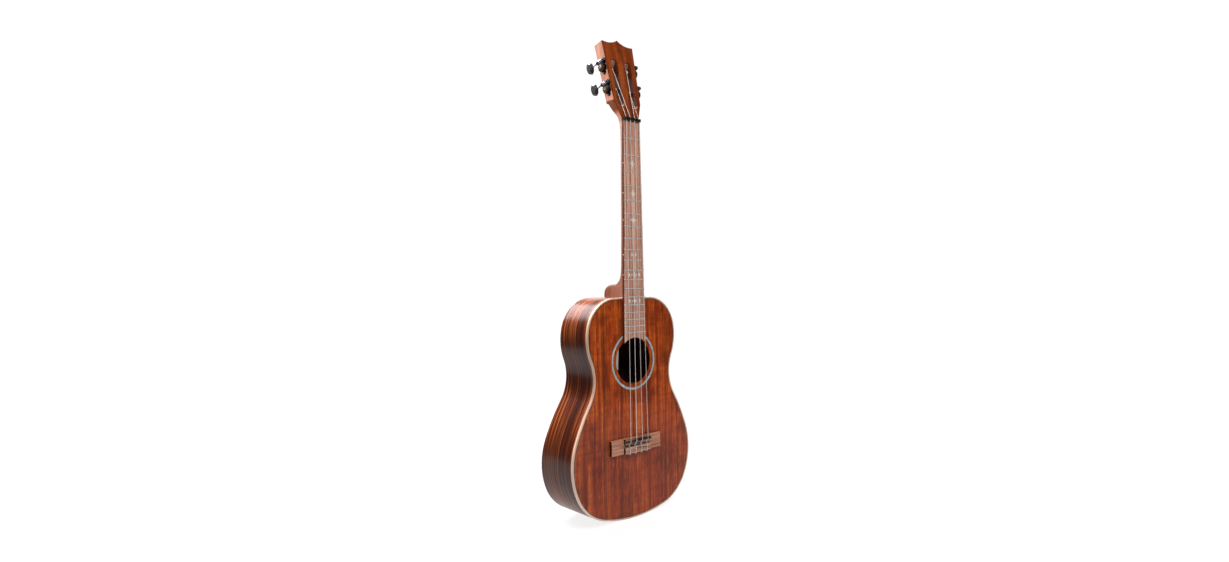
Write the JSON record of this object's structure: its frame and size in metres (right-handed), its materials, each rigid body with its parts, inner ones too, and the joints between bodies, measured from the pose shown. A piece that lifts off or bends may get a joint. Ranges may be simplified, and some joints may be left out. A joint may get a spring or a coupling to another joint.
{
  "type": "ukulele",
  "caption": "Baritone ukulele with a slotted headstock, open-gear tuners that turn, a tie bridge and a hollow braced body.",
  "frame": {"origin": "middle of the object's box in x and y, at the lowest point of the tail", "axes": "+Z from the tail to the headstock, strings face -Y, bass string at -X"},
  "size_m": [0.2546, 0.099, 0.779],
  "materials": {
    "koa_top": "gloss",
    "koa_sides": "gloss",
    "koa_head": "gloss",
    "binding_maple": "gloss",
    "purfling_dark": "gloss",
    "pearl_ring": "pearl",
    "pale_wood": "raw",
    "mahogany": "satin",
    "spruce": "raw",
    "label_paper": "matt",
    "fretboard_wood": "satin",
    "fret_wire": "polished",
    "pearl_inlay": "pearl",
    "black_bone": "satin",
    "bridge_wood": "satin",
    "trim_strip": "satin",
    "string_nylon": "clear",
    "gunmetal": "satin",
    "roller_black": "satin",
    "gear_brass": "machined",
    "screw_steel": "polished",
    "worm_steel": "polished",
    "button_black": "gloss"
  },
  "bodies": {
    "instrument": {"soundboard": "koa_top", "rosette": "pearl_ring", "purfling": "purfling_dark", "binding": "binding_maple", "rib_left": "koa_sides", "rib_right": "koa_sides", "back_plate": "koa_sides", "lining_front": "pale_wood", "lining_back": "pale_wood", "head_block": "mahogany", "tail_block": "mahogany", "transverse_braces": "spruce", "fan_braces": "spruce", "bridge_plate": "pale_wood", "back_braces": "spruce", "back_strip": "pale_wood", "inner_label": "label_paper", "neck": "mahogany", "headstock_veneer": "koa_head", "fretboard": "fretboard_wood", "frets": "fret_wire", "fret_markers": "pearl_inlay", "side_dots": "pearl_inlay", "nut": "black_bone", "bridge": "bridge_wood", "saddle": "black_bone", "tie_block_trim": "trim_strip", "string_1": "string_nylon", "string_2": "string_nylon", "string_3": "string_nylon", "string_4": "string_nylon", "tuner_plate_1": "gunmetal", "tuner_plate_2": "gunmetal", "tuner_plate_3": "gunmetal", "tuner_plate_4": "gunmetal", "plate_screws": "screw_steel"},
    "tuner_1_worm": {"worm_shaft_1": "worm_steel", "tuner_button_1": "button_black"},
    "tuner_1_post": {"string_roller_1": "roller_black", "tuner_gear_1": "gear_brass", "gear_screw_1": "screw_steel", "winding_1": "string_nylon"},
    "tuner_2_worm": {"worm_shaft_2": "worm_steel", "tuner_button_2": "button_black"},
    "tuner_2_post": {"string_roller_2": "roller_black", "tuner_gear_2": "gear_brass", "gear_screw_2": "screw_steel", "winding_2": "string_nylon"},
    "tuner_3_worm": {"worm_shaft_3": "worm_steel", "tuner_button_3": "button_black"},
    "tuner_3_post": {"string_roller_3": "roller_black", "tuner_gear_3": "gear_brass", "gear_screw_3": "screw_steel", "winding_3": "string_nylon"},
    "tuner_4_worm": {"worm_shaft_4": "worm_steel", "tuner_button_4": "button_black"},
    "tuner_4_post": {"string_roller_4": "roller_black", "tuner_gear_4": "gear_brass", "gear_screw_4": "screw_steel", "winding_4": "string_nylon"}
  },
  "joints": [
    {"name": "tuner_1_button", "type": "hinge", "parent": "instrument", "child": "tuner_1_worm", "pos_m": [0.03462, -0.01696, 0.70083], "axis": [0, 0.9744, -0.225], "continuous": true},
    {"name": "tuner_1_roller", "type": "hinge", "parent": "instrument", "child": "tuner_1_post", "pos_m": [0.02927, -0.01916, 0.69132], "axis": [0.9989, -0.0103, -0.0448], "continuous": true},
    {"name": "tuner_2_button", "type": "hinge", "parent": "instrument", "child": "tuner_2_worm", "pos_m": [0.03635, -0.00853, 0.73737], "axis": [0, 0.9744, -0.225], "continuous": true},
    {"name": "tuner_2_roller", "type": "hinge", "parent": "instrument", "child": "tuner_2_post", "pos_m": [0.03099, -0.01072, 0.72786], "axis": [0.9989, -0.0103, -0.0448], "continuous": true},
    {"name": "tuner_3_button", "type": "hinge", "parent": "instrument", "child": "tuner_3_worm", "pos_m": [-0.03635, -0.00853, 0.73737], "axis": [0, 0.9744, -0.225], "continuous": true},
    {"name": "tuner_3_roller", "type": "hinge", "parent": "instrument", "child": "tuner_3_post", "pos_m": [-0.03099, -0.01072, 0.72786], "axis": [-0.9989, -0.0103, -0.0448], "continuous": true},
    {"name": "tuner_4_button", "type": "hinge", "parent": "instrument", "child": "tuner_4_worm", "pos_m": [-0.03462, -0.01696, 0.70083], "axis": [0, 0.9744, -0.225], "continuous": true},
    {"name": "tuner_4_roller", "type": "hinge", "parent": "instrument", "child": "tuner_4_post", "pos_m": [-0.02927, -0.01916, 0.69132], "axis": [-0.9989, -0.0103, -0.0448], "continuous": true}
  ],
  "couplings": [
    {"joint": "tuner_1_roller", "follows": "tuner_1_button", "ratio": 0.071429},
    {"joint": "tuner_2_roller", "follows": "tuner_2_button", "ratio": 0.071429},
    {"joint": "tuner_3_roller", "follows": "tuner_3_button", "ratio": 0.071429},
    {"joint": "tuner_4_roller", "follows": "tuner_4_button", "ratio": 0.071429}
  ]
}
